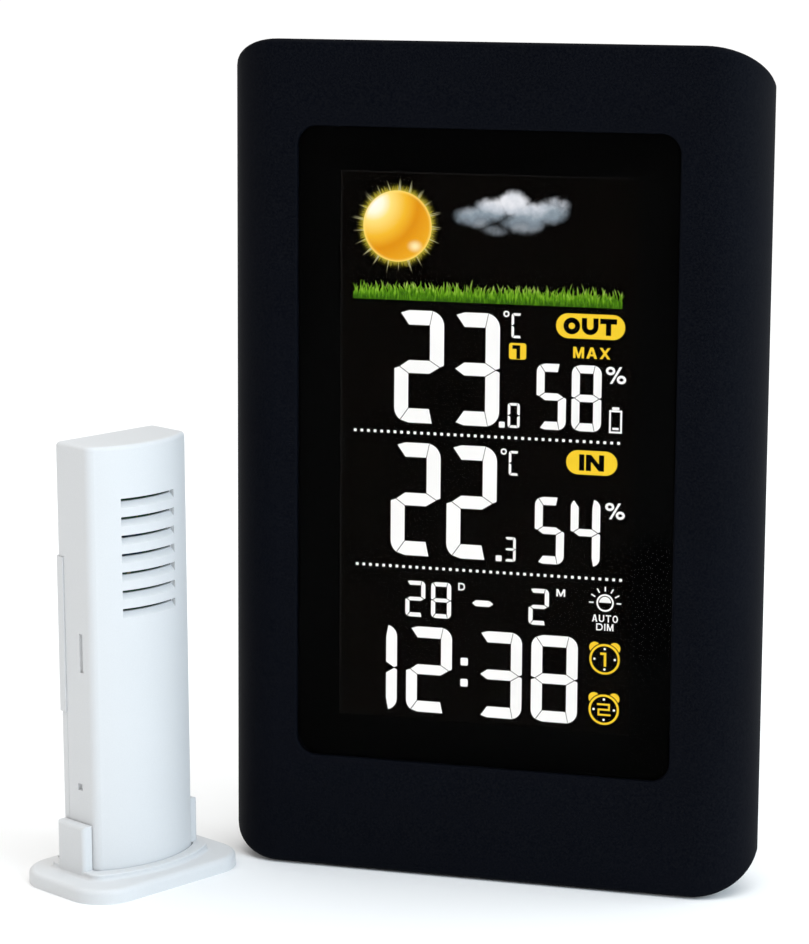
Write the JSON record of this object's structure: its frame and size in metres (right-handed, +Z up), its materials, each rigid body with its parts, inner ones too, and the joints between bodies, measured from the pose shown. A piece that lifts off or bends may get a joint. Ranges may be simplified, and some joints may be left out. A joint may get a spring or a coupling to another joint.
{
  "type": "home weather station",
  "caption": "Upright display unit with a tall window, rear keys and a fold-out leg, beside a slim wireless outdoor sensor that lifts out of its table stand.",
  "frame": {"origin": "middle of the foot strip under the display unit, on the surface that it stands on", "axes": "+X to the display unit's right seen from the front, +Y towards its back, +Z up"},
  "size_m": [0.1613, 0.0945, 0.1902],
  "materials": {
    "soft_black": "fine soft-touch grain",
    "key_black": "satin",
    "clear_lens": "clear, polished",
    "print_black": "screen-printed",
    "lcd_glass": "dark, negative display",
    "light_guide": "clear acrylic",
    "white_tray": "satin",
    "lamp_white": "lamp packages on a strip",
    "grey_rubber": "layered rubber contact strip",
    "board_green": "solder mask",
    "chip_black": "moulded packages",
    "module_green": "small circuit boards",
    "wire": "enamelled copper",
    "ferrite": "pressed ferrite",
    "buzzer_black": "satin",
    "sensor_eye": "clear epoxy",
    "jack_black": "moulded",
    "cell_jacket": "printed jacket, bright ends",
    "nickel": "nickel plate",
    "screw_steel": "zinc plate",
    "foot_rubber": "matt",
    "sensor_white": "fine satin grain",
    "switch_white": "satin"
  },
  "bodies": {
    "display_unit": {"front_shell": "soft_black", "rear_shell": "soft_black", "display_lens": "clear_lens", "battery_cells": "cell_jacket", "case_screws": "screw_steel", "foot_strip": "foot_rubber", "lens_mask": "print_black", "lcd_panel": "lcd_glass", "backlight_tray": "white_tray", "backlight_diffuser": "light_guide", "backlight_leds": "lamp_white", "zebra_connector": "grey_rubber", "main_board": "board_green", "key_switches": "chip_black", "snooze_switch": "chip_black", "controller_chip": "chip_black", "receiver_module": "module_green", "receiver_antenna": "wire", "time_antenna_rod": "ferrite", "time_antenna_coil": "wire", "buzzer": "buzzer_black", "climate_sensor": "module_green", "light_sensor": "sensor_eye", "dc_jack": "jack_black", "battery_contacts": "nickel", "battery_springs": "nickel", "board_screws": "screw_steel", "kickstand_pin": "screw_steel"},
    "kickstand": {"kickstand": "soft_black", "kickstand_pad": "foot_rubber"},
    "battery_door": {"battery_door": "soft_black"},
    "snooze_bar": {"snooze_bar": "key_black"},
    "mode_key": {"mode_key": "key_black"},
    "alarm_key": {"alarm_key": "key_black"},
    "plus_key": {"plus_key": "key_black"},
    "minus_key": {"minus_key": "key_black"},
    "channel_key": {"channel_key": "key_black"},
    "memory_key": {"memory_key": "key_black"},
    "sensor_stand": {"sensor_stand": "sensor_white"},
    "sensor": {"sensor_front_shell": "sensor_white", "sensor_rear_shell": "sensor_white", "sensor_cells": "cell_jacket", "sensor_board": "board_green", "sensor_probe": "module_green", "sensor_chips": "chip_black", "sensor_antenna": "wire", "sensor_contacts": "nickel", "sensor_springs": "nickel", "transmit_switch": "chip_black", "channel_switch": "chip_black", "sensor_screws": "screw_steel"},
    "sensor_battery_door": {"sensor_battery_door": "sensor_white"},
    "transmit_key": {"transmit_key": "switch_white"},
    "channel_slider": {"channel_slider": "switch_white"}
  },
  "joints": [
    {"name": "kickstand_hinge", "type": "hinge", "parent": "display_unit", "child": "kickstand", "pos_m": [0, 0.01795, 0.02158], "axis": [1, 0, 0], "range_deg": [0, 123]},
    {"name": "battery_door_off", "type": "slide", "parent": "display_unit", "child": "battery_door", "axis": [0, 0.9994, -0.0349], "range_m": [0, 0.06]},
    {"name": "snooze_press", "type": "slide", "parent": "display_unit", "child": "snooze_bar", "axis": [0, -0.0349, -0.9994], "range_m": [0, 0.001], "stiffness_N_per_m": 1200},
    {"name": "mode_press", "type": "slide", "parent": "display_unit", "child": "mode_key", "axis": [0, -0.9994, 0.0349], "range_m": [0, 0.0009], "stiffness_N_per_m": 1200},
    {"name": "alarm_press", "type": "slide", "parent": "display_unit", "child": "alarm_key", "axis": [0, -0.9994, 0.0349], "range_m": [0, 0.0009], "stiffness_N_per_m": 1200},
    {"name": "plus_press", "type": "slide", "parent": "display_unit", "child": "plus_key", "axis": [0, -0.9994, 0.0349], "range_m": [0, 0.0009], "stiffness_N_per_m": 1200},
    {"name": "minus_press", "type": "slide", "parent": "display_unit", "child": "minus_key", "axis": [0, -0.9994, 0.0349], "range_m": [0, 0.0009], "stiffness_N_per_m": 1200},
    {"name": "channel_press", "type": "slide", "parent": "display_unit", "child": "channel_key", "axis": [0, -0.9994, 0.0349], "range_m": [0, 0.0009], "stiffness_N_per_m": 1200},
    {"name": "memory_press", "type": "slide", "parent": "display_unit", "child": "memory_key", "axis": [0, -0.9994, 0.0349], "range_m": [0, 0.0009], "stiffness_N_per_m": 1200},
    {"name": "sensor_placing", "type": "slide", "parent": "display_unit", "child": "sensor_stand", "axis": [-1, 0, 0], "range_m": [0, 0.3]},
    {"name": "sensor_lift", "type": "slide", "parent": "sensor_stand", "child": "sensor", "axis": [0, 0, 1], "range_m": [0, 0.12]},
    {"name": "sensor_door_off", "type": "slide", "parent": "sensor", "child": "sensor_battery_door", "axis": [-0.8788, 0.4772, 0], "range_m": [0, 0.03]},
    {"name": "transmit_press", "type": "slide", "parent": "sensor", "child": "transmit_key", "axis": [0.8788, -0.4772, 0], "range_m": [0, 0.0006], "stiffness_N_per_m": 600},
    {"name": "channel_slide", "type": "slide", "parent": "sensor", "child": "channel_slider", "axis": [0.4772, 0.8788, 0], "range_m": [-0.002, 0.002]}
  ]
}
